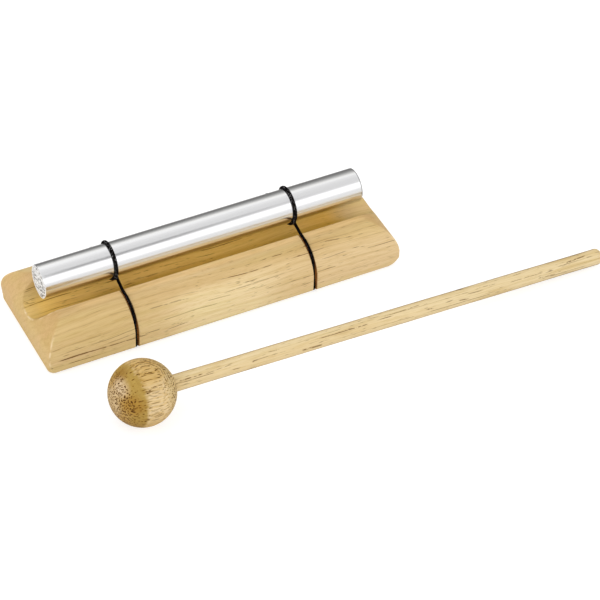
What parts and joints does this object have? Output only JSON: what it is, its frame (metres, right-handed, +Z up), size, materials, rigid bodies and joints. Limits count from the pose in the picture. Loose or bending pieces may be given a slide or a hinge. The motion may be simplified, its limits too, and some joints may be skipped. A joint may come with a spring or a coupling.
{
  "type": "chime bar",
  "caption": "Solid metal rod slung on elastic cords over a grooved wooden resonator block, with a wooden ball-headed mallet beside it.",
  "frame": {"origin": "Centre of the resonator block's flat underside, on the surface it stands on.", "axes": "+X along the rod and the block, towards the free end of the mallet's stick; +Y to the back, away from the mallet; +Z up."},
  "size_m": [0.2604, 0.1112, 0.0392],
  "materials": {
    "block_wood": "pale open-grained hardwood, grain along the block, thin satin finish",
    "rod_aluminium": "polished drawn surface, rough-sawn ends",
    "left_cord_elastic": "black covered elastic cord, twisted cover",
    "right_cord_elastic": "black covered elastic cord, twisted cover",
    "ball_wood": "turned hardwood, open pores, clear finish",
    "stick_wood": "turned pale hardwood dowel, clear finish"
  },
  "bodies": {
    "base": {"resonator_base": "block_wood"},
    "cord_slings": {"left_cord": "left_cord_elastic", "right_cord": "right_cord_elastic"},
    "rod": {"chime_rod": "rod_aluminium"},
    "mallet": {"mallet_head": "ball_wood", "mallet_handle": "stick_wood"}
  },
  "joints": [
    {"name": "rod_bounce", "type": "slide", "parent": "base", "child": "cord_slings", "axis": [0, 0, 1], "range_m": [-0.006, 0.006], "stiffness_N_per_m": 400, "springref_m": 0.0021, "deforming": ["left_cord", "right_cord"]},
    {"name": "rod_shift", "type": "slide", "parent": "cord_slings", "child": "rod", "axis": [1, 0, 0], "range_m": [-0.03, 0.03]},
    {"name": "mallet_lift", "type": "slide", "parent": "base", "child": "mallet", "axis": [0, 0, 1], "range_m": [0, 0.08]}
  ]
}
